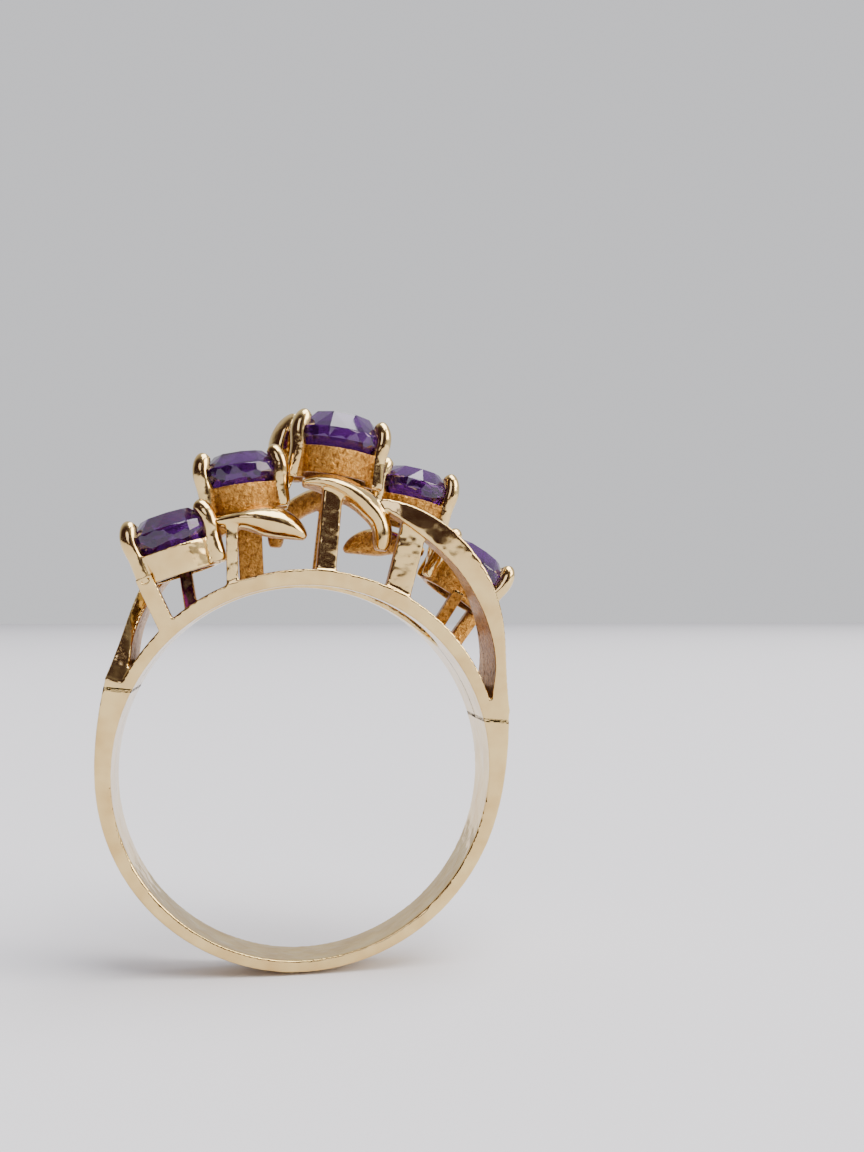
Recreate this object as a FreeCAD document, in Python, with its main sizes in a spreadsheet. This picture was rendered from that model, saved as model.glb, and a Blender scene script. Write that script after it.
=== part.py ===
import FreeCAD, Part
import math
import os

# Cocktail ring: five claw-set stones in a diagonal row on an open gallery, with
# two shoulder sweeps that pass each other on either side of the stones.
# Millimetres. The origin is the middle of the finger hole, Y runs along the
# finger, X across the hand and Z up through the centre stone.

VECTOR = FreeCAD.Vector
ACROSS = VECTOR(1, 0, 0)
FINGER = VECTOR(0, 1, 0)
UP = VECTOR(0, 0, 1)

doc = FreeCAD.newDocument("cocktail_ring")
sheet = doc.addObject("Spreadsheet::Sheet", "Sizes")

SIZES = {
    # hoop
    "finger_diameter": 17.3,
    "shank_width": 2.24,
    "head_width": 6.76,
    "split_angle": 21.5,
    # gallery rails
    "rail_top_thickness": 0.72,
    "rail_end_thickness": 0.55,
    "rail_top_width": 1.05,
    "window_end_angle": 50,
    # stones
    "side_stone": 3.75,
    "centre_stone": 4.25,
    "table_ratio": 0.6,
    "side_crown_height": 0.75,
    "centre_crown_height": 1.0,
    "girdle_height": 0.14,
    "belly_height": 0.66,
    "belly_inset": 0.28,
    "point_depth": 0.98,
    "culet_radius": 0.06,
    # collars and claws
    "collar_height": 1.25,
    "collar_wall": 0.28,
    "collar_taper": 0.22,
    "collar_clearance": 0.02,
    "claw_diameter": 0.8,
    "claw_spread": 28,
    # row of stones
    "centre_shift": 0.15,
    "mid_gap": 0.37,
    "right_mid_gap": 0.12,
    "low_gap": -0.6,
    "right_low_gap": 0.18,
    "row_skew": 1.0,
    # uprights
    "post_thickness": 0.52,
    "centre_post_thickness": 0.9,
    "sweep_post_thickness": 1.2,
    "post_depth": 0.85,
    "outer_strut_thickness": 0.76,
    "inner_strut_thickness": 0.58,
    "strut_depth": 0.75,
    "joint_depth": 0.3,
    "post_reach": 0.25,
    "post_setback": 0.1,
    "foot_setback": 0.22,
    "leaf_post_foot": -26.8,
    "centre_post_foot": -0.3,
    "sweep_post_foot": 21.2,
    "outer_strut_foot": -48,
    "outer_strut_side": 2.25,
    "inner_strut_foot": -40,
    "inner_strut_side": 1.6,
    "bridge_thickness": 0.5,
    "bridge_depth": 0.8,
}

# lift of each girdle above the finger hole, lean of each stone from upright, and
# how far its claws reach down past the foot of the collar
SEATS = {
    "left_low": {"lift": 3.9, "lean": -24, "claw_drop": 0.0},
    "left_mid": {"lift": 5.6, "lean": -14, "claw_drop": 0.0},
    "centre": {"lift": 7.2, "lean": 3, "claw_drop": 0.4},
    "right_mid": {"lift": 6.0, "lean": 8, "claw_drop": 0.0},
    "right_low": {"lift": 4.36, "lean": 29, "claw_drop": 0.0},
}

# hoop: degrees from upright, thickness in the middle and at its edges
HOOP = [
    (68.5, 1.42, 1.26),
    (76.0, 1.16, 1.0),
    (86.0, 0.94, 0.78),
    (105.0, 0.82, 0.66),
    (135.0, 0.74, 0.58),
    (180.0, 0.68, 0.53),
]

# sweep: degrees from upright, outer lift, thickness, outer edge, depth
SWEEP = [
    (68.5, 1.3, 0.74, -2.14, 4.28),
    (58.0, 1.74, 0.56, -2.55, 4.0),
    (48.0, 2.66, 0.68, -2.9, 3.3),
    (39.0, 3.5, 0.96, -3.2, 2.3),
    (30.0, 4.12, 1.1, -3.42, 1.6),
    (17.5, 4.5, 0.95, -3.5, 1.4),
    (12.0, 4.46, 0.62, -3.42, 1.2),
    (8.5, 4.3, 0.3, -3.2, 0.7),
]

# leaf below the mid stone: arc from upright, lift of middle line, thickness, middle, depth
SIDE_LEAF = [
    (-5.3, 3.5, 0.45, -2.8, 0.9),
    (-4.6, 3.4, 0.78, -2.8, 1.3),
    (-3.8, 3.28, 1.08, -2.85, 1.5),
    (-3.0, 3.05, 1.38, -2.85, 1.55),
    (-2.2, 2.78, 1.3, -2.9, 1.4),
    (-1.5, 2.42, 0.85, -2.95, 1.0),
    (-1.1, 2.1, 0.25, -3.0, 0.4),
]

# leaf that arches below the centre stone, in the same five measures
CENTRE_LEAF = [
    (-1.5, 4.6, 0.3, -2.7, 0.9),
    (-0.95, 4.7, 0.66, -2.5, 2.0),
    (-0.1, 4.64, 1.0, -2.4, 2.4),
    (0.7, 4.4, 1.12, -2.6, 2.0),
    (1.4, 4.04, 1.1, -2.85, 1.5),
    (2.0, 3.58, 1.02, -2.95, 1.3),
    (2.32, 3.08, 0.9, -3.0, 1.15),
    (2.38, 2.5, 0.8, -3.0, 1.05),
    (2.36, 2.1, 0.54, -3.0, 0.8),
]

# station of each bar that stands on a post
SWEEP_POST_STATION = 5
LEAF_POST_STATION = 1
CENTRE_POST_STATION = 2

# fluted petal between the centre stone and the left middle stone
PETAL = [
    (-2.35, 5.9, 0.7, 1.3, 1.0),
    (-2.6, 6.8, 1.2, 1.35, 1.3),
    (-2.45, 7.7, 1.05, 1.35, 1.2),
    (-2.05, 8.45, 0.4, 1.3, 0.7),
]

# claw: distance out from the collar's top edge, height from the girdle, share of its diameter
CLAW = [
    (-0.16, -1.86, 0.86),
    (0.0, -1.0, 0.96),
    (0.1, -0.2, 1.0),
    (0.08, 0.3, 1.0),
    (-0.04, 0.62, 0.92),
    (-0.24, 0.84, 0.6),
]


STATION_FIELDS = ("along", "lift", "thickness", "side", "depth")


def write_sizes():
    values = dict(SIZES)
    for seat, place in SEATS.items():
        for field, value in place.items():
            values[seat + "_" + field] = value
    bars = {"sweep": SWEEP, "side_leaf": SIDE_LEAF, "centre_leaf": CENTRE_LEAF, "petal": PETAL}
    for bar, stations in bars.items():
        for count, station in enumerate(stations):
            for field, value in zip(STATION_FIELDS, station):
                values[f"{bar}_{field}_{count}"] = value
    for count, station in enumerate(CLAW):
        for field, value in zip(("out", "height", "share"), station):
            values[f"claw_{field}_{count}"] = value
    for count, station in enumerate(HOOP):
        for field, value in zip(("degrees", "middle", "edge"), station):
            values[f"hoop_{field}_{count}"] = value
    for row, (name, value) in enumerate(values.items(), start=1):
        sheet.set(f"A{row}", name)
        sheet.set(f"B{row}", str(value))
        sheet.setAlias(f"B{row}", name)
    doc.recompute()


write_sizes()


def size(name):
    return float(sheet.get(name))


finger_radius = size("finger_diameter") / 2
half_head = size("head_width") / 2
FAR = 4 * finger_radius


def add(kind, name, **expressions):
    """One parametric primitive, its sizes bound to the sheet."""
    item = doc.addObject(kind, name)
    item.Label = name
    for prop, formula in expressions.items():
        item.setExpression(prop, formula)
    return item


def shape_item(name, shape):
    item = doc.addObject("Part::Feature", name)
    item.Label = name
    item.Shape = shape
    return item


def cut(name, base, tools):
    """Notch base to fit each tool in turn, so that they meet face to face."""
    result = base
    for count, tool in enumerate(tools):
        step = doc.addObject("Part::Cut", f"{name}_notch_{count}")
        step.Base = result
        step.Tool = tool
        result = step
    result.Label = name
    return result


def common(name, first, second):
    item = doc.addObject("Part::Common", name)
    item.Base = first
    item.Tool = second
    item.Label = name
    return item


def turned(name, source):
    """The same piece turned half way round the upright axis."""
    item = shape_item(name, source.Shape.copy())
    item.Placement = FreeCAD.Placement(VECTOR(), FreeCAD.Rotation(UP, 180)) * source.Placement
    return item


# ---- hoop: a half-round section that grows towards the shoulders

Y_AXIS = FreeCAD.Rotation(ACROSS, -90)
split = math.radians(size("split_angle"))
upright_to_split = math.pi / 2 - split
shank_half = size("shank_width") / 2


def on_arc(angle, lift):
    """Point above the finger hole, the angle in radians from upright towards +X."""
    reach = finger_radius + lift
    return VECTOR(reach * math.sin(angle), 0, reach * math.cos(angle))


def half_width(angle):
    """The hoop is narrowest at its base and spreads towards the head."""
    climb = finger_radius * (1 + math.cos(angle))
    whole = 2 * finger_radius + size("rail_top_thickness")
    return shank_half + (half_head - shank_half) * (climb / whole) ** 2


def hoop_section(angle, middle, edge):
    width = half_width(angle)
    inside = -size("joint_depth")
    front = FINGER * -width
    back = FINGER * width
    rim = [on_arc(angle, inside) + front, on_arc(angle, edge) + front,
           on_arc(angle, edge) + back, on_arc(angle, inside) + back]
    crown = Part.Arc(rim[1], on_arc(angle, middle), rim[2]).toShape()
    lines = [Part.makeLine(rim[0], rim[1]), crown, Part.makeLine(rim[2], rim[3]),
             Part.makeLine(rim[3], rim[0])]
    return Part.Wire(lines)


def hoop_shape():
    """Down the right side to the base and up the left, one section at each station."""
    right = [[size(f"hoop_{field}_{count}") for field in ("degrees", "middle", "edge")]
             for count in range(len(HOOP))]
    right[0][0] = math.degrees(upright_to_split)
    left = [[-degrees, middle, edge] for degrees, middle, edge in reversed(right[:-1])]
    wires = [hoop_section(math.radians(degrees), middle, edge) for degrees, middle, edge in right + left]
    return Part.makeLoft(wires, True, False)


bore = add("Part::Cylinder", "finger_bore", Radius="Sizes.finger_diameter / 2")
bore.Height = 2 * FAR
bore.Placement = FreeCAD.Placement(VECTOR(0, -FAR, 0), Y_AXIS)
shank = cut("shank", shape_item("shank_blank", hoop_shape()), [bore])


def flank(name, side):
    """A very large cylinder that hollows one side of the gallery, as the shank spreads."""
    spread = "((Sizes.head_width - Sizes.shank_width) / 2)"
    rise = "(Sizes.finger_diameter + Sizes.rail_top_thickness)"
    radius = f"({rise}^2 + {spread}^2) / (2 * {spread})"
    roll = add("Part::Cylinder", name, Radius=radius)
    doc.recompute()
    reach = float(roll.Radius) + shank_half
    roll.Height = 2 * FAR
    along_x = FreeCAD.Rotation(FINGER, 90)
    roll.Placement = FreeCAD.Placement(VECTOR(-FAR, side * reach, -finger_radius), along_x)
    return roll


def sector(name, start, sweep):
    """A pie slice about the finger axis, angles counted from +X towards +Z."""
    slice_item = add("Part::Cylinder", name)
    slice_item.Radius = FAR
    slice_item.Height = 2 * FAR
    slice_item.Angle = sweep
    turn = FreeCAD.Rotation(FINGER, -start)
    stand = FreeCAD.Rotation(ACROSS, 90)
    slice_item.Placement = FreeCAD.Placement(VECTOR(0, FAR, 0), turn * stand)
    return slice_item


front_flank = flank("front_flank", -1)
back_flank = flank("back_flank", 1)
split_angle = size("split_angle")
upper_sector = sector("upper_sector", split_angle, 180 - 2 * split_angle)

# ---- gallery rails: two strips that carry the inner curve on above the split

rail_top = size("rail_top_thickness")
rail_end = size("rail_end_thickness")
rail_rise = (rail_top - rail_end) / (1 - math.sin(split))
rail_mean = finger_radius + rail_top - rail_rise

rail_blank = add("Part::Cylinder", "rail_blank")
rail_blank.Radius = rail_mean
rail_blank.Height = 2 * FAR
rail_blank.Placement = FreeCAD.Placement(VECTOR(0, -FAR, rail_rise), Y_AXIS)

window_outline = add("Part::Ellipse", "window_outline")
window_outline.MajorRadius = (finger_radius + rail_end) * math.cos(math.radians(size("window_end_angle")))
window_outline.setExpression("MinorRadius", "Sizes.head_width / 2 - Sizes.rail_top_width")
window = doc.addObject("Part::Extrusion", "window")
window.Base = window_outline
window.Dir = UP
window.LengthFwd = FAR
window.Solid = True

band = cut("gallery_band", common("band_sector", rail_blank, upper_sector),
           [bore, front_flank, back_flank, window])


def half_space(name, side):
    box = doc.addObject("Part::Box", name)
    box.Label = name
    box.Length = 2 * FAR
    box.Width = FAR
    box.Height = 2 * FAR
    box.Placement.Base = VECTOR(-FAR, 0 if side > 0 else -FAR, -FAR)
    return box


front_rail = common("front_gallery_rail", band, half_space("front_half", -1))
back_rail = common("back_gallery_rail", band, half_space("back_half", 1))

# ---- bars: every sweep, leaf, petal, post and strut is a bar lofted through stations


def arc_angle(arc, lift):
    return arc / (finger_radius + lift)


def frame_at(points, index):
    """Direction of the bar at one station, from its neighbours."""
    before = points[max(index - 1, 0)]
    after = points[min(index + 1, len(points) - 1)]
    return (after - before).normalize()


def box_section(middle, across, thickness, side, depth):
    """A four-sided section, across the bar in the XZ plane and along the finger."""
    corners = []
    for swing, push in ((-1, -1), (1, -1), (1, 1), (-1, 1)):
        corner = middle + across * (swing * thickness / 2) + FINGER * (side + push * depth / 2)
        corners.append(corner)
    return Part.makePolygon(corners + corners[:1])


def oval_section(middle, across, thickness, side, depth):
    """An oval section with one seam, so that every section of a leaf matches."""
    centre = middle + FINGER * side
    long_way = depth >= thickness
    major, minor = (depth / 2, thickness / 2) if long_way else (thickness / 2, depth / 2)
    first = FINGER if long_way else across
    second = across if long_way else FINGER
    turn = [(1, 0), (0, 1), (-1, 0), (0, -1)]
    corners = [centre + first * (major * a) + second * (minor * b) for a, b in turn]
    spline = Part.BSplineCurve()
    if not long_way:
        corners = corners[1:] + corners[:1]
    spline.interpolate(corners, PeriodicFlag=True)
    return Part.Wire([spline.toShape()])


def lofted(points, sections, section):
    wires = []
    for index, measures in enumerate(sections):
        along = frame_at(points, index)
        across = along.cross(FINGER).normalize()
        wires.append(section(points[index], across, *measures))
    return Part.makeLoft(wires, True, False)


def stations_of(bar, stations):
    return [[size(f"{bar}_{field}_{count}") for field in STATION_FIELDS]
            for count in range(len(stations))]


def sweep_shape():
    points = []
    sections = []
    rows = stations_of("sweep", SWEEP)
    rows[0][0] = math.degrees(upright_to_split)
    for degrees, lift, thickness, front, depth in rows:
        points.append(on_arc(math.radians(degrees), lift - thickness / 2))
        sections.append((thickness, front + depth / 2, depth))
    return lofted(points, sections, box_section)


def leaf_shape(bar, stations, section):
    points = []
    sections = []
    for arc, lift, thickness, side, depth in stations_of(bar, stations):
        points.append(on_arc(arc_angle(arc, lift), lift))
        sections.append((thickness, side, depth))
    return lofted(points, sections, section)


# ---- settings: each stone stands in a collar and is held by four claws


def seat_angles():
    """Arc of each stone from upright, set by the stones' own sizes and gaps."""
    pitch = (size("centre_stone") + size("side_stone")) / 2
    arcs = {
        "left_low": -(pitch + size("mid_gap") + size("side_stone") + size("low_gap")),
        "left_mid": -(pitch + size("mid_gap")),
        "centre": size("centre_shift"),
        "right_mid": pitch + size("right_mid_gap"),
        "right_low": pitch + size("right_mid_gap") + size("side_stone") + size("right_low_gap"),
    }
    return {seat: arc_angle(arc, size(seat + "_lift")) for seat, arc in arcs.items()}


ROW = list(SEATS)
SKEW = {"left_low": -2, "left_mid": -1, "centre": 0, "right_mid": 1, "right_low": 2}
ANGLES = seat_angles()


def seat_placement(seat):
    """Middle of the girdle, with the stone's axis leaning from upright."""
    base = on_arc(ANGLES[seat], size(seat + "_lift")) + FINGER * (SKEW[seat] * size("row_skew"))
    return FreeCAD.Placement(base, FreeCAD.Rotation(FINGER, size(seat + "_lean")))


def stone_radius(seat):
    return size("centre_stone" if seat == "centre" else "side_stone") / 2


def stone(seat):
    """Crown, girdle, rounded belly and point, turned about the stone's axis."""
    kind = "centre" if seat == "centre" else "side"
    radius = f"Sizes.{kind}_stone / 2"
    crown = f"Sizes.{kind}_crown_height"
    place = seat_placement(seat)
    girdle = size("girdle_height")
    belly = size("belly_height")
    name = seat + "_amethyst"
    steps = [
        ("crown", radius, radius + " * Sizes.table_ratio", crown, girdle / 2, 1),
        ("belly", radius, radius + " - Sizes.belly_inset", "Sizes.belly_height", -girdle / 2, -1),
        ("point", radius + " - Sizes.belly_inset", "Sizes.culet_radius", "Sizes.point_depth",
         -girdle / 2 - belly, -1),
    ]
    pieces = []
    for step, near, far, height, level, way in steps:
        cone = add("Part::Cone", f"{name}_{step}", Radius1=near, Radius2=far, Height=height)
        flip = FreeCAD.Rotation(ACROSS, 0 if way > 0 else 180)
        cone.Placement = place * FreeCAD.Placement(VECTOR(0, 0, level), flip)
        pieces.append(cone)
    disc = add("Part::Cylinder", f"{name}_girdle", Radius=radius, Height="Sizes.girdle_height")
    disc.Placement = place * FreeCAD.Placement(VECTOR(0, 0, -girdle / 2), FreeCAD.Rotation())
    fused = doc.addObject("Part::MultiFuse", name)
    fused.Shapes = pieces + [disc]
    fused.Label = name
    return fused


collar_outsides = {}


def collar_top():
    return -size("girdle_height") / 2 - size("belly_height")


def collar(seat):
    """A tapered ring just below the girdle; the stone's point hangs in its bore."""
    bore_top = (f"Sizes.{'centre' if seat == 'centre' else 'side'}_stone / 2"
                " - Sizes.belly_inset + Sizes.collar_clearance")
    place = seat_placement(seat)
    name = seat + "_collar"
    base = place * FreeCAD.Placement(VECTOR(0, 0, collar_top() - size("collar_height")),
                                     FreeCAD.Rotation())
    outside = add("Part::Cone", name + "_outside", Height="Sizes.collar_height",
                  Radius1=bore_top + " + Sizes.collar_wall - Sizes.collar_taper",
                  Radius2=bore_top + " + Sizes.collar_wall")
    inside = add("Part::Cone", name + "_inside", Height="Sizes.collar_height",
                 Radius1=bore_top + " - Sizes.collar_taper", Radius2=bore_top)
    outside.Placement = base
    inside.Placement = base
    collar_outsides[seat] = outside
    return cut(name, outside, [inside])


def claw_blank(seat, turn):
    """A round wire that leans out past the girdle and hooks in over the crown."""
    edge = stone_radius(seat) - size("belly_inset") + size("collar_clearance") + size("collar_wall")
    wires = []
    points = []
    for index in range(len(CLAW)):
        out = size(f"claw_out_{index}")
        height = size(f"claw_height_{index}")
        if index == 0:
            height -= size(seat + "_claw_drop")
        points.append(VECTOR(edge + out, 0, height))
    for index, point in enumerate(points):
        radius = size("claw_diameter") * size(f"claw_share_{index}") / 2
        along = frame_at(points, index)
        wires.append(Part.Wire([Part.makeCircle(radius, point, along)]))
    shape = Part.makeLoft(wires, True, False)
    spin = FreeCAD.Placement(VECTOR(), FreeCAD.Rotation(UP, turn))
    shape.Placement = seat_placement(seat) * spin
    return shape


def claw_turns():
    """Two claws at each end of the stone, spread to either side of the row."""
    spread = size("claw_spread")
    return [spread, 180 - spread, 180 + spread, 360 - spread]


def setting(seat):
    return [stones[seat], collars[seat], claw_sets[seat]]


def claws(seat):
    """The four claws of one stone, notched for it, its collar and the settings beside it."""
    blanks = [claw_blank(seat, turn) for turn in claw_turns()]
    blank = shape_item(seat + "_claw_blanks", Part.makeCompound(blanks))
    place = ROW.index(seat)
    beside = [other for other in ROW if abs(ROW.index(other) - place) == 1]
    fit = [stones[seat], collar_outsides[seat]]
    for other in beside:
        fit += [stones[other], collar_outsides[other]]
        if other in claw_sets:
            fit.append(claw_sets[other])
    return cut(seat + "_claws", blank, fit)


stones = {seat: stone(seat) for seat in SEATS}
collars = {seat: collar(seat) for seat in SEATS}
claw_sets = {}
for seat in ROW:
    claw_sets[seat] = claws(seat)
doc.recompute()

# ---- sweeps, leaves and petal, each notched round the settings that it touches

sweep_blank = shape_item("sweep_blank", sweep_shape())
front_sweep = cut("front_sweep", sweep_blank,
                  [shank, front_rail, back_rail] + setting("right_low") + setting("right_mid"))
back_sweep = cut("back_sweep", turned("back_sweep_blank", sweep_blank),
                 [shank, front_rail, back_rail] + setting("left_low") + setting("left_mid"))

side_leaf_blank = shape_item("side_leaf_blank", leaf_shape("side_leaf", SIDE_LEAF, oval_section))
front_side_leaf = cut("front_side_leaf", side_leaf_blank,
                      setting("left_mid") + setting("left_low"))
back_side_leaf = cut("back_side_leaf", turned("back_side_leaf_blank", side_leaf_blank),
                     setting("right_mid") + setting("right_low"))

centre_leaf_blank = shape_item("centre_leaf_blank",
                               leaf_shape("centre_leaf", CENTRE_LEAF, oval_section))
front_centre_leaf = cut("front_centre_leaf", centre_leaf_blank,
                        setting("centre") + setting("right_mid") + [front_sweep])
back_centre_leaf = cut("back_centre_leaf", turned("back_centre_leaf_blank", centre_leaf_blank),
                       setting("centre") + setting("left_mid") + [back_sweep])

doc.recompute()

# ---- uprights: posts and struts that carry the leaves, sweeps and collars on the rails


def bar_underside(bar, stations, index):
    """A point just inside the lower side of a leaf, where a post can end."""
    arc, lift, thickness = stations_of(bar, stations)[index][:3]
    return on_arc(arc_angle(arc, lift), lift - thickness * size("post_reach"))


def upright_shape(foot_degrees, foot_side, head, head_side, thickness, depth):
    """A square bar from inside a rail's top face to a point inside the piece above it."""
    foot = on_arc(math.radians(foot_degrees), rail_top - size("joint_depth"))
    sections = [(thickness, foot_side, depth), (thickness, head_side, depth)]
    return lofted([foot, head], sections, box_section)


def in_seat(seat, turn, out, height):
    """Point in a setting's own frame: turn about the stone's axis, distance out, height."""
    swing = math.radians(turn)
    place = seat_placement(seat)
    return place.multVec(VECTOR(out * math.cos(swing), out * math.sin(swing), height))


def in_plane(point):
    return VECTOR(point.x, 0, point.z), point.y


def collar_edge(seat):
    inset = size("belly_inset") - size("collar_clearance") - size("collar_wall")
    return stone_radius(seat) - inset


def strut_heads(seat, side):
    """Under the outer claw of a low stone, and under the inner edge of its collar."""
    outer_turn = 180 + size("claw_spread") if side < 0 else size("claw_spread")
    claw_foot = in_seat(seat, outer_turn, collar_edge(seat),
                        size("claw_height_0") + size("joint_depth"))
    under_collar = in_seat(seat, -90 * side, collar_edge(seat) - size("collar_wall"),
                           collar_top() - size("collar_height") + size("joint_depth"))
    return claw_foot, under_collar


def uprights_on(face, side, leaf, centre_leaf, sweep, low_seat):
    """The posts and struts of one face; side is -1 at the front and 1 at the back."""
    post_side = side * (half_head - size("post_depth") / 2 - size("post_setback"))
    foot_side = post_side - side * size("foot_setback")
    rail = {-1: front_rail, 1: back_rail}[side]
    degrees, lift, thickness = stations_of("sweep", SWEEP)[SWEEP_POST_STATION][:3]
    sweep_head = on_arc(math.radians(degrees), lift - thickness / 2)
    claw_foot, under_collar = strut_heads(low_seat, side)
    outer_head, outer_side = in_plane(claw_foot)
    inner_head, inner_side = in_plane(under_collar)
    leaf_head = bar_underside("side_leaf", SIDE_LEAF, LEAF_POST_STATION)
    centre_head = bar_underside("centre_leaf", CENTRE_LEAF, CENTRE_POST_STATION)
    low_fit = [collars[low_seat], claw_sets[low_seat]]
    post = size("post_depth")
    strut = size("strut_depth")
    rows = {
        "leaf_post": (size("leaf_post_foot"), foot_side, leaf_head, post_side,
                      size("post_thickness"), post, [leaf]),
        "centre_post": (size("centre_post_foot"), post_side, centre_head, post_side,
                        size("centre_post_thickness"), post, [centre_leaf]),
        "sweep_post": (size("sweep_post_foot"), foot_side, sweep_head, post_side,
                       size("sweep_post_thickness"), post, [sweep]),
        "outer_strut": (size("outer_strut_foot"), side * size("outer_strut_side"), outer_head,
                        outer_side, size("outer_strut_thickness"), strut, low_fit),
        "inner_strut": (size("inner_strut_foot"), side * size("inner_strut_side"), inner_head,
                        inner_side, size("inner_strut_thickness"), strut, low_fit),
    }
    made = []
    for name, (foot, foot_y, head, head_y, thickness, depth, above) in rows.items():
        own_head = name.endswith("strut")
        head_here = head if side < 0 or own_head else VECTOR(-head.x, 0, head.z)
        blank = shape_item(f"{face}_{name}_blank",
                           upright_shape(-side * foot, foot_y, head_here, head_y, thickness, depth))
        fit_to = above if own_head else above + low_fit
        made.append(cut(f"{face}_{name}", blank, [rail] + fit_to))
    return made


uprights = uprights_on("front", -1, front_side_leaf, front_centre_leaf, front_sweep, "left_low")
uprights += uprights_on("back", 1, back_side_leaf, back_centre_leaf, back_sweep, "right_low")

# ---- bridges: short bars between the collars that don't rest on each other's claws


def bridge(name, left, right):
    """A bar between two collars at mid height, its ends buried in their walls."""
    middle = collar_top() - size("collar_height") / 2
    reach = collar_edge(left) - size("collar_wall")
    start, start_side = in_plane(in_seat(left, 0, reach, middle))
    end, end_side = in_plane(in_seat(right, 180, collar_edge(right) - size("collar_wall"), middle))
    sections = [(size("bridge_thickness"), start_side, size("bridge_depth")),
                (size("bridge_thickness"), end_side, size("bridge_depth"))]
    blank = shape_item(name + "_blank", lofted([start, end], sections, box_section))
    return cut(name, blank, [collar_outsides[left], collar_outsides[right]]
               + setting(left) + setting(right))


bridges = [bridge("left_mid_bridge", "left_mid", "centre"),
           bridge("right_low_bridge", "right_mid", "right_low")]

petal_blank = shape_item("petal_blank", leaf_shape("petal", PETAL, oval_section))
petal = cut("fluted_petal", petal_blank, setting("centre") + [claw_sets["left_mid"]])

doc.recompute()
nodes = [shank, front_rail, back_rail, front_sweep, back_sweep, front_side_leaf, back_side_leaf,
         front_centre_leaf, back_centre_leaf]
nodes += uprights + bridges + [petal]
nodes += list(stones.values()) + list(collars.values()) + list(claw_sets.values())

for item in doc.Objects:
    bad = [state for state in item.State if state in ("Invalid", "Error")]
    if bad:
        raise RuntimeError(f"{item.Label}: {bad}")

os.makedirs("parts", exist_ok=True)
for node in nodes:
    shape = node.Shape
    if shape.isNull() or not shape.isValid() or not shape.Solids:
        raise RuntimeError(f"{node.Label}: bad shape")
    shape.exportStep(f"parts/{node.Label}.step")
    box = shape.optimalBoundingBox(False, False)
    print(f"{node.Label:24s} solids {len(shape.Solids)} volume {shape.Volume:8.3f}",
          f"x {box.XMin:6.2f} {box.XMax:6.2f} y {box.YMin:6.2f} {box.YMax:6.2f}",
          f"z {box.ZMin:6.2f} {box.ZMax:6.2f}")
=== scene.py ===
"""A cocktail ring in yellow gold with five amethysts, dressed over its CAD frame."""

import math

import bpy
from mathutils import Matrix, Vector


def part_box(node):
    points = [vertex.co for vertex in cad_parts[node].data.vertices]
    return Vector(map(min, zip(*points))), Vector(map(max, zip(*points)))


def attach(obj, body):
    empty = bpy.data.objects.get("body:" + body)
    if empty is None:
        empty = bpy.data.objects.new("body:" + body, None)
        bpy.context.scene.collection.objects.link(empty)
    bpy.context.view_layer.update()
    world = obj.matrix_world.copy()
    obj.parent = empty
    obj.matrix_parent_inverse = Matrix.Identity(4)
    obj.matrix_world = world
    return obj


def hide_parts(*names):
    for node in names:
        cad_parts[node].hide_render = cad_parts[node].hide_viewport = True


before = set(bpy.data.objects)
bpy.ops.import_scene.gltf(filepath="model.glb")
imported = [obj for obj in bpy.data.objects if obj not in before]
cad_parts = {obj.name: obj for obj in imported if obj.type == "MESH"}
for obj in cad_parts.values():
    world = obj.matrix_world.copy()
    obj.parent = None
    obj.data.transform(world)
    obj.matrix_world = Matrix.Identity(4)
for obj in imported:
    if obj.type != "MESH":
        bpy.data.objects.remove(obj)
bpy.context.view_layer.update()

MM = 0.001

# ---- Band ----------------------------------------------------------------------
# The band of the ring is cast in 10-karat yellow gold with the rest of the metal.
# It is filed to a taper, wide at the shoulders, and buffed bright on a felt wheel.


def linear(hex_colour):
    """An sRGB hex colour as the linear RGBA that shader sockets take."""
    channels = [int(hex_colour[start:start + 2], 16) / 255 for start in (1, 3, 5)]
    return tuple(((c + 0.055) / 1.055) ** 2.4 if c > 0.04045 else c / 12.92
                 for c in channels) + (1.0,)


def add_node(tree, kind, values=None, links=None, **settings):
    """Adds one shader node, with its own settings, its socket values and its links."""
    node = tree.nodes.new(kind)
    for name, value in settings.items():
        setattr(node, name, value)
    for socket, value in (values or {}).items():
        node.inputs[socket].default_value = value
    for socket, source in (links or {}).items():
        tree.links.new(source, node.inputs[socket])
    return node


def new_material(name):
    """An empty node material and its output node."""
    material = bpy.data.materials.new(name)
    material.use_nodes = True
    material.node_tree.nodes.clear()
    return material, material.node_tree


POLISHED_GOLD = "#E8CA8A"
WORN_GOLD = "#B98C4C"
POLISH_MARKS = 0.05 * MM    # the buff's lines are finer; this is as fine as shows
POLISH_WAVES = 1.1 * MM


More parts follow.
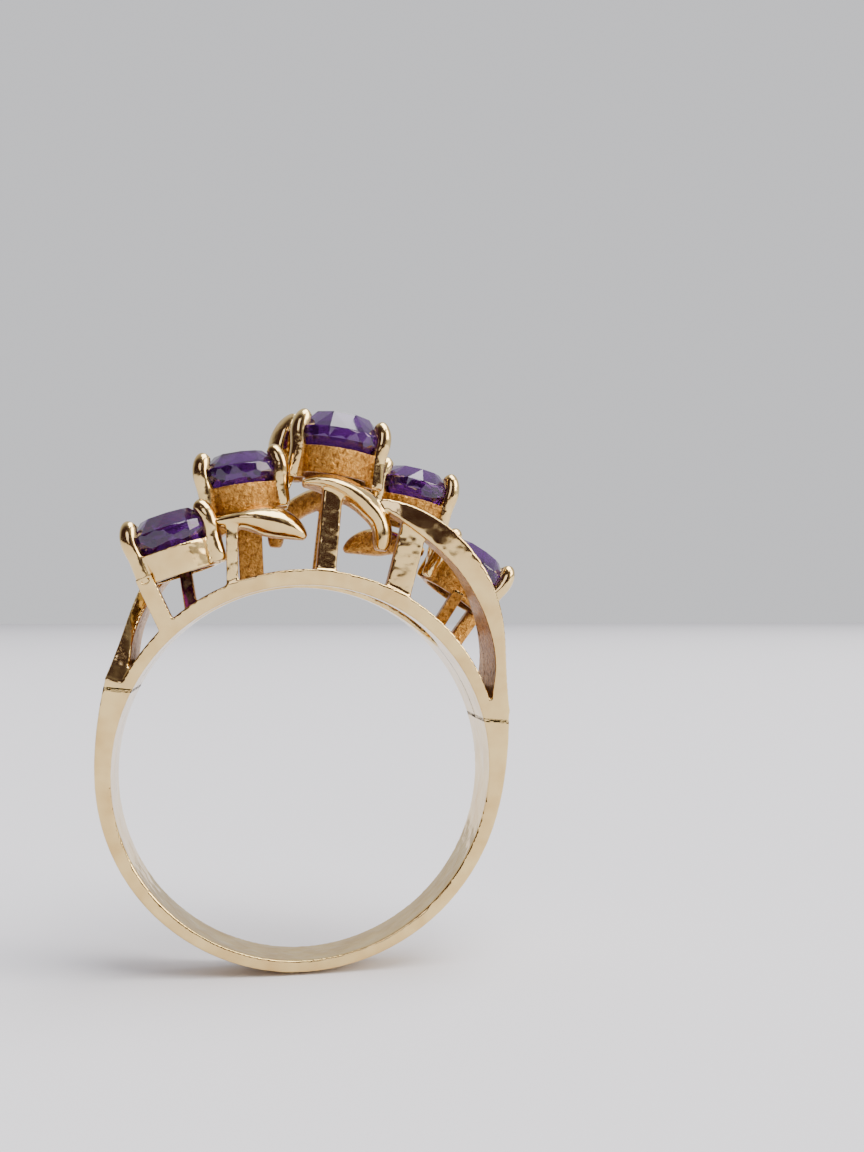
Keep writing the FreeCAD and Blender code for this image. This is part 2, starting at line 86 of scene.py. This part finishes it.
def polished_gold():
    """10-karat gold off the felt wheel: bright, with faint buffing lines and soft waves."""
    material, tree = new_material("polished_10_karat_gold")
    place = add_node(tree, "ShaderNodeTexCoord")
    waves = add_node(tree, "ShaderNodeTexNoise",
                     {"Scale": 1 / POLISH_WAVES, "Detail": 2.0, "Roughness": 0.5},
                     {"Vector": place.outputs["Object"]})
    marks = add_node(tree, "ShaderNodeTexNoise",
                     {"Scale": 1 / POLISH_MARKS, "Detail": 3.0, "Roughness": 0.6},
                     {"Vector": place.outputs["Object"]})
    colour = add_node(tree, "ShaderNodeMix", {"A": linear(POLISHED_GOLD), "B": linear(WORN_GOLD)},
                      data_type="RGBA")
    tone = add_node(tree, "ShaderNodeMapRange",
                    {"From Min": 0.35, "From Max": 0.75, "To Min": 0.0, "To Max": 0.45},
                    {"Value": waves.outputs["Fac"]})
    tree.links.new(tone.outputs["Result"], colour.inputs[0])
    gloss = add_node(tree, "ShaderNodeMapRange",
                     {"From Min": 0.3, "From Max": 0.8, "To Min": 0.07, "To Max": 0.2},
                     {"Value": marks.outputs["Fac"]})
    ripple = add_node(tree, "ShaderNodeBump", {"Strength": 0.7, "Distance": 0.1 * MM},
                      {"Height": waves.outputs["Fac"]})
    scratch = add_node(tree, "ShaderNodeBump", {"Strength": 0.06, "Distance": 0.01 * MM},
                       {"Height": marks.outputs["Fac"], "Normal": ripple.outputs["Normal"]})
    surface = add_node(tree, "ShaderNodeBsdfPrincipled", {"Metallic": 1.0},
                       {"Base Color": colour.outputs["Result"],
                        "Roughness": gloss.outputs["Result"],
                        "Normal": scratch.outputs["Normal"]})
    add_node(tree, "ShaderNodeOutputMaterial", links={"Surface": surface.outputs["BSDF"]})
    return material


GOLD = polished_gold()


def active_only(piece):
    """Selects one object and nothing else, ready for an operator."""
    bpy.ops.object.select_all(action="DESELECT")
    piece.select_set(True)
    bpy.context.view_layer.objects.active = piece


def cast_copy(name, cad_nodes, voxel, rounding):
    """One casting made of copies of CAD nodes: fused, then rounded as polishing rounds it."""
    copies = []
    for cad_node in cad_nodes:
        copy = bpy.data.objects.new(name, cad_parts[cad_node].data.copy())
        bpy.context.collection.objects.link(copy)
        copies.append(copy)
    bpy.ops.object.select_all(action="DESELECT")
    for copy in copies:
        copy.select_set(True)
    piece = copies[0]
    bpy.context.view_layer.objects.active = piece
    if len(copies) > 1:
        bpy.ops.object.join()
    bpy.ops.object.mode_set(mode="EDIT")
    bpy.ops.mesh.select_all(action="SELECT")
    bpy.ops.mesh.remove_doubles(threshold=0.0005 * MM)
    bpy.ops.object.mode_set(mode="OBJECT")
    skin = piece.modifiers.new("skin", "REMESH")
    skin.mode = "VOXEL"
    skin.voxel_size = voxel
    bpy.ops.object.modifier_apply(modifier=skin.name)
    buff = piece.modifiers.new("buffing", "SMOOTH")
    buff.factor = 0.5
    buff.iterations = rounding
    bpy.ops.object.modifier_apply(modifier=buff.name)
    bpy.ops.object.shade_smooth()
    piece.data.materials.clear()
    piece.data.materials.append(GOLD)
    return piece


def fit(piece, cad_nodes):
    """Fixes a finished piece to the ring in place of its CAD nodes."""
    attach(piece, "root")
    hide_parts(*cad_nodes)


GALLERY_PARTS = ["gallery_rail", "sweep", "side_leaf", "centre_leaf", "leaf_post", "centre_post",
                 "sweep_post", "outer_strut", "inner_strut"]
gallery_nodes = {face: [face + "_" + part for part in GALLERY_PARTS]
                 for face in ("front", "back")}
CASTING_VOXEL = 0.062 * MM
CASTING_ROUNDING = 7
casting = cast_copy("casting", ["shank"] + gallery_nodes["front"] + gallery_nodes["back"],
                    CASTING_VOXEL, CASTING_ROUNDING)


SLIVER = 0.012 * MM
CREASE_ANGLE = math.radians(50)


def parted(name, source, cuts):
    """A copy of the casting, sawn by planes; each is a point and the side that falls away.
    The piece keeps the whole casting's normals."""
    piece = bpy.data.objects.new(name, source.data.copy())
    bpy.context.collection.objects.link(piece)
    active_only(piece)
    bpy.ops.object.mode_set(mode="EDIT")
    for point, away in cuts:
        bpy.ops.mesh.select_all(action="SELECT")
        bpy.ops.mesh.bisect(plane_co=point, plane_no=away, use_fill=True, clear_outer=True)
    bpy.ops.mesh.select_all(action="SELECT")
    bpy.ops.mesh.remove_doubles(threshold=SLIVER)
    bpy.ops.mesh.normals_make_consistent(inside=False)
    bpy.ops.object.mode_set(mode="OBJECT")
    bpy.ops.object.shade_smooth_by_angle(angle=CREASE_ANGLE)
    skin = piece.modifiers.new("skin", "DATA_TRANSFER")
    skin.object = source
    skin.use_loop_data = True
    skin.data_types_loops = {"CUSTOM_NORMAL"}
    skin.loop_mapping = "POLYINTERP_NEAREST"
    bpy.ops.object.modifier_apply(modifier=skin.name)
    return piece


SHOULDER_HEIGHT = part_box("front_gallery_rail")[0].z
shoulder = Vector((0.0, 0.0, SHOULDER_HEIGHT))
band = parted("band", casting, [(shoulder, Vector((0, 0, 1)))])
fit(band, ["shank"])

# ---- Gallery -------------------------------------------------------------------
# Each face of the gallery is a rail, five uprights, two leaves and a sweep. They are
# cast with the band, so the joints run into each other in small fillets, and the
# hollows keep the orange, grainy skin of the casting where no buff can reach. The faces
# there that turn from the front are darkened as painted shade.

middle = Vector((0.0, 0.0, 0.0))
LAP = Vector((0.0, 0.0, 0.03 * MM))   # the galleries reach this far over the band
front_gallery = parted("front_gallery", casting, [(shoulder - LAP, Vector((0, 0, -1))),
                                                  (middle, Vector((0, 1, 0)))])
back_gallery = parted("back_gallery", casting, [(shoulder - LAP, Vector((0, 0, -1))),
                                                (middle, Vector((0, -1, 0)))])
bpy.data.objects.remove(casting)

# The darker as-cast colours are the casting's real skin and grain. Where they are laid on the
# gallery's hollows, they also stand as painted shade.
CAST_GOLD = "#DDA552"
CAST_SHADOW = "#6E431E"
CAST_GRAIN = 0.19 * MM


def cast_gold_and_shade():
    """Gold as it comes from the investment mould: orange, dull, with the mould's grain. On the
    gallery's hollows its darker colour is also painted shade.
    """
    material, tree = new_material("as_cast_gold_and_painted_shade")
    place = add_node(tree, "ShaderNodeTexCoord")
    grain = add_node(tree, "ShaderNodeTexNoise",
                     {"Scale": 1 / CAST_GRAIN, "Detail": 4.0, "Roughness": 0.65},
                     {"Vector": place.outputs["Object"]})
    pits = add_node(tree, "ShaderNodeTexVoronoi", {"Scale": 0.6 / CAST_GRAIN},
                    {"Vector": place.outputs["Object"]})
    share = add_node(tree, "ShaderNodeMapRange",
                     {"From Min": 0.3, "From Max": 0.7, "To Min": 0.0, "To Max": 1.0},
                     {"Value": grain.outputs["Fac"]})
    colour = add_node(tree, "ShaderNodeMix", {"A": linear(CAST_SHADOW), "B": linear(CAST_GOLD)},
                      data_type="RGBA")
    tree.links.new(share.outputs["Result"], colour.inputs[0])
    gloss = add_node(tree, "ShaderNodeMapRange",
                     {"From Min": 0.2, "From Max": 0.8, "To Min": 0.42, "To Max": 0.22},
                     {"Value": grain.outputs["Fac"]})
    rough = add_node(tree, "ShaderNodeBump", {"Strength": 1.0, "Distance": 0.12 * MM},
                     {"Height": grain.outputs["Fac"]})
    dents = add_node(tree, "ShaderNodeBump", {"Strength": 0.5, "Distance": 0.04 * MM},
                     {"Height": pits.outputs["Distance"], "Normal": rough.outputs["Normal"]})
    surface = add_node(tree, "ShaderNodeBsdfPrincipled", {"Metallic": 1.0},
                       {"Base Color": colour.outputs["Result"],
                        "Roughness": gloss.outputs["Result"],
                        "Normal": dents.outputs["Normal"]})
    add_node(tree, "ShaderNodeOutputMaterial", links={"Surface": surface.outputs["BSDF"]})
    return material


AS_CAST_AND_SHADE = cast_gold_and_shade()
FINGER_RADIUS = 8.65 * MM
BUFFED_LIFT = 0.2 * MM      # the rail's own face is buffed up to this lift
TURNED_FROM_FRONT = 0.35         # a face turned this little to the front is out of the buff's reach and painted in shade
BUFFED_CROWN = 0.55         # a face turned this much outwards is buffed again


def cast_skin_and_shade_in_hollows(piece, face_side):
    """Gives the casting's skin, and with it painted shade, to faces in the gallery's hollows that
    turn from the front.
    """
    piece.data.materials.append(AS_CAST_AND_SHADE)
    # The faces picked here get the darker as-cast gold. It is both the casting's skin and painted
    # shade on faces in the hollows turned from the front.
    for polygon in piece.data.polygons:
        radial = Vector((polygon.center.x, 0, polygon.center.z))
        lift = radial.length - FINGER_RADIUS
        outward = polygon.normal.dot(radial.normalized())
        frontal = polygon.normal.y * face_side
        if lift > BUFFED_LIFT and frontal < TURNED_FROM_FRONT and outward < BUFFED_CROWN:
            polygon.material_index = 1


cast_skin_and_shade_in_hollows(front_gallery, -1)
cast_skin_and_shade_in_hollows(back_gallery, 1)
fit(front_gallery, gallery_nodes["front"])
fit(back_gallery, gallery_nodes["back"])

# ---- Settings ------------------------------------------------------------------
# Each stone has a collar with four claws on it, cast in one with the bridge to the
# next collar. The claws are bent over the stone and burnished, and the collars between
# them keep the skin of the casting.

SEATS = ["left_low", "left_mid", "centre", "right_mid", "right_low"]
BRIDGES = {"left_mid": ["left_mid_bridge"], "right_low": ["right_low_bridge"]}
LEANS = {"left_low": -24, "left_mid": -14, "centre": 3, "right_mid": 8, "right_low": 29}
POLISHED_COLLARS = ["left_low"]
SETTING_VOXEL = 0.045 * MM
SETTING_ROUNDING = 6
COLLAR_REACH = 0.06 * MM    # how far the collar stands out past the stone
COLLAR_TOP = -0.5 * MM      # its top, below the middle of the girdle


def seat_measures(seat):
    """Axis, side, middle of the girdle, radius, top and bottom of a stone, off its CAD node."""
    lean = math.radians(LEANS[seat])
    axis = Vector((math.sin(lean), 0.0, math.cos(lean)))
    side = Vector((math.cos(lean), 0.0, -math.sin(lean)))
    corners = [vertex.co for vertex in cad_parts[seat + "_amethyst"].data.vertices]
    along = [corner.dot(axis) for corner in corners]
    across = [corner.dot(side) for corner in corners]
    depth = [corner.y for corner in corners]
    radius = (max(across) - min(across)) / 2
    centre = side * (max(across) + min(across)) / 2
    centre.y = (max(depth) + min(depth)) / 2
    widest = [corner.dot(axis) for corner in corners
              if (corner - centre).cross(axis).length > 0.995 * radius]
    girdle = (max(widest) + min(widest)) / 2
    return axis, centre + axis * girdle, radius, max(along) - girdle, girdle - min(along)


for seat in SEATS:
    setting_nodes = [seat + "_collar", seat + "_claws"] + BRIDGES.get(seat, [])
    setting = cast_copy(seat + "_setting", setting_nodes, SETTING_VOXEL, SETTING_ROUNDING)
    axis, centre, radius, top, bottom = seat_measures(seat)
    setting.data.materials.append(AS_CAST_AND_SHADE)
    if seat not in POLISHED_COLLARS:
        for polygon in setting.data.polygons:
            arm = polygon.center - centre
            height = arm.dot(axis)
            reach = (arm - axis * height).length
            if reach < radius + COLLAR_REACH and height < COLLAR_TOP:
                polygon.material_index = 1
    fit(setting, setting_nodes)

# ---- Petal ---------------------------------------------------------------------
# A small petal stands between the centre stone and its left neighbour. It is
# cast gold, buffed all over, and has one smooth face.

PETAL_ROUNDING = 3
petal = cast_copy("petal", ["fluted_petal"], SETTING_VOXEL, PETAL_ROUNDING)
fit(petal, ["fluted_petal"])

# ---- Stones --------------------------------------------------------------------
# The stones are amethysts, which are purple quartz, cut as round brilliants. Their
# facets are flat and sharp, and light that enters from the top comes back out of it.

DEEP_AMETHYST = "#2C0836"
PALE_AMETHYST = "#5B1F7C"
COLOUR_ZONES = 1.4 * MM
QUARTZ_IOR = 1.55
CLARITY = 0.75
GIRDLE_HALF = 0.07 * MM
GIRDLE_SIDES = 64
TABLE_SHARE = 0.6


def amethyst():
    """Faceted purple quartz: clear, deep in colour, with a glassy polish."""
    material, tree = new_material("faceted_amethyst")
    place = add_node(tree, "ShaderNodeTexCoord")
    zones = add_node(tree, "ShaderNodeTexNoise",
                     {"Scale": 1 / COLOUR_ZONES, "Detail": 1.0},
                     {"Vector": place.outputs["Object"]})
    colour = add_node(tree, "ShaderNodeMix", {"A": linear(DEEP_AMETHYST),
                                            "B": linear(PALE_AMETHYST)},
                      data_type="RGBA")
    tree.links.new(zones.outputs["Fac"], colour.inputs[0])
    surface = add_node(tree, "ShaderNodeBsdfPrincipled",
                       {"Roughness": 0.02, "IOR": QUARTZ_IOR, "Transmission Weight": CLARITY},
                       {"Base Color": colour.outputs["Result"]})
    add_node(tree, "ShaderNodeOutputMaterial", links={"Surface": surface.outputs["BSDF"]})
    return material


STONE = amethyst()


def grind(level, angle, count, offset, reach):
    """Cuts one ring of equal facets: each a plane at an angle from upright that passes
    through the point at that reach and level."""
    slope = math.radians(angle)
    for index in range(count):
        turn = math.radians(360 / count * (index + offset))
        outward = Vector((math.cos(turn), math.sin(turn), 0))
        away = outward * math.sin(slope) + Vector((0, 0, math.cos(slope)))
        point = outward * reach + Vector((0, 0, level))
        bpy.ops.mesh.select_all(action="SELECT")
        bpy.ops.mesh.bisect(plane_co=point, plane_no=away, use_fill=True, clear_outer=True)


# rings of facets: share of the height from the girdle, angle, count, offset, share of
# the radius; crown angles are measured from the main one, pavilion angles from level
CROWN_RINGS = [
    (0.0, 7, 16, 0.5, 1.0),
    (0.0, -1, 8, 0, 1.0),
    (1.0, -14, 8, 0.5, TABLE_SHARE * 0.97),
]
PAVILION_RINGS = [
    (0.0, 68, 16, 0.5, 1.0),
    (0.3, 52, 8, 0, 0.9),
    (0.55, 42, 8, 0.5, 0.66),
]
GRINDING_DUST = 0.004 * MM
FLAT_ENOUGH = math.radians(1.5)


def brilliant(name, radius, top, bottom):
    """A round brilliant, ground from a cylinder of rough as a cutter grinds it."""
    bpy.ops.object.select_all(action="DESELECT")
    bpy.ops.mesh.primitive_cylinder_add(vertices=GIRDLE_SIDES, radius=radius, depth=top + bottom,
                                        location=(0, 0, (top - bottom) / 2))
    stone = bpy.context.object
    stone.name = name
    bpy.ops.object.transform_apply(location=True)
    bpy.ops.object.mode_set(mode="EDIT")
    crown = top - GIRDLE_HALF
    crown_angle = math.degrees(math.atan2(crown, radius * (1 - TABLE_SHARE)))
    for height, change, count, offset, reach in CROWN_RINGS:
        grind(GIRDLE_HALF + height * crown, crown_angle + change, count, offset, radius * reach)
    depth = bottom - GIRDLE_HALF
    for height, angle, count, offset, reach in PAVILION_RINGS:
        grind(-GIRDLE_HALF - height * depth, 180 - angle, count, offset, radius * reach)
    bpy.ops.mesh.select_all(action="SELECT")
    bpy.ops.mesh.remove_doubles(threshold=GRINDING_DUST)
    bpy.ops.mesh.select_all(action="SELECT")
    bpy.ops.mesh.convex_hull(use_existing_faces=False, join_triangles=True,
                             face_threshold=FLAT_ENOUGH)
    bpy.ops.mesh.normals_make_consistent(inside=False)
    bpy.ops.object.mode_set(mode="OBJECT")
    bpy.ops.object.shade_flat()
    stone.data.materials.append(STONE)
    return stone


side_cut = brilliant("side_cut", *seat_measures("left_low")[2:])
centre_cut = brilliant("centre_cut", *seat_measures("centre")[2:])
for seat in SEATS:
    axis, centre = seat_measures(seat)[:2]
    rough = centre_cut if seat == "centre" else side_cut
    stone = bpy.data.objects.new(seat + "_stone", rough.data.copy())
    bpy.context.collection.objects.link(stone)
    lean = Matrix.Rotation(math.radians(LEANS[seat]), 4, "Y")
    stone.data.transform(Matrix.Translation(centre) @ lean)
    fit(stone, [seat + "_amethyst"])
bpy.data.objects.remove(side_cut)
bpy.data.objects.remove(centre_cut)

# ---- Table, lights and camera --------------------------------------------------
# The ring leans a little as it stands on a pale matt card, so the card is tilted to
# lie level with the lean. Three soft square lamps stand far off, and the walls of the
# studio are pale on the side of the lamps and dim on the other.

UP_FROM_TABLE = Vector((-0.0958, 0.0, 0.9954)).normalized()
TABLE_TOUCH = Vector((0.89, 0.0, -9.29)) * MM
TABLE_COLOUR = "#DDDCE2"
PALE_WALL = "#F2F2F6"
DIM_WALL = "#453236"
TOWARD_LAMPS = (0.5, 0.8, 0.33)
WALL_STRENGTH = 0.9

bpy.ops.object.select_all(action="DESELECT")
bpy.ops.mesh.primitive_plane_add(size=3.0, location=(0.0, 0.0, 0.0))
table = bpy.context.object
table.name = "table_top"
turn = Vector((0, 0, 1)).rotation_difference(UP_FROM_TABLE).to_matrix().to_4x4()
table.data.transform(Matrix.Translation(TABLE_TOUCH) @ turn)
matt, tree = new_material("pale_matt_card")
surface = add_node(tree, "ShaderNodeBsdfPrincipled",
                   {"Base Color": linear(TABLE_COLOUR), "Roughness": 0.7})
add_node(tree, "ShaderNodeOutputMaterial", links={"Surface": surface.outputs["BSDF"]})
table.data.materials.append(matt)

world = bpy.data.worlds.new("studio")
world.use_nodes = True
bpy.context.scene.world = world
sky = world.node_tree
direction = add_node(sky, "ShaderNodeTexCoord")
toward_light = add_node(sky, "ShaderNodeVectorMath", {1: TOWARD_LAMPS},
                        {0: direction.outputs["Generated"]}, operation="DOT_PRODUCT")
glow = add_node(sky, "ShaderNodeMapRange",
                {"From Min": -0.55, "From Max": 0.35, "To Min": 0.0, "To Max": 1.0},
                {"Value": toward_light.outputs["Value"]}, interpolation_type="SMOOTHSTEP")
walls = add_node(sky, "ShaderNodeMix", {"A": linear(DIM_WALL), "B": linear(PALE_WALL)},
                 data_type="RGBA")
sky.links.new(glow.outputs["Result"], walls.inputs[0])
sky.links.new(walls.outputs["Result"], sky.nodes["Background"].inputs["Color"])
sky.nodes["Background"].inputs["Strength"].default_value = WALL_STRENGTH


def soft_light(name, place, size, power, colour):
    """A square diffuser that faces the ring."""
    lamp = bpy.data.lights.new(name, "AREA")
    lamp.shape = "SQUARE"
    lamp.size = size
    lamp.energy = power
    lamp.color = linear(colour)[:3]
    holder = bpy.data.objects.new(name, lamp)
    bpy.context.collection.objects.link(holder)
    holder.location = place
    holder.rotation_euler = (-Vector(place)).to_track_quat("-Z", "Y").to_euler()


soft_light("top_light", (0.3, -0.3, 1.5), 1.2, 42, "#FFFFFF")
soft_light("right_light", (1.2, -0.6, 0.8), 0.9, 24, "#FFF6E8")
soft_light("front_fill", (-0.5, -1.6, 0.6), 0.7, 4, "#F4F0FF")

CAMERA_PLACE = Vector((-2.9516, -51.2945, 7.1892)) * MM
CAMERA_FORWARD = Vector((0.15823, 0.98618, 0.04907)).normalized()
CAMERA_UP = Vector((-0.10123, -0.03323, 0.99431)).normalized()
camera_data = bpy.data.cameras.new("camera")
camera_data.lens = 33.375
camera_data.sensor_width = 36.0
camera_data.clip_start = 0.001
camera = bpy.data.objects.new("camera", camera_data)
bpy.context.collection.objects.link(camera)
camera_right = CAMERA_FORWARD.cross(CAMERA_UP).normalized()
camera_up = camera_right.cross(CAMERA_FORWARD)
camera.matrix_world = Matrix.Translation(CAMERA_PLACE) @ Matrix(
    (camera_right, camera_up, -CAMERA_FORWARD)).transposed().to_4x4()
bpy.context.scene.camera = camera
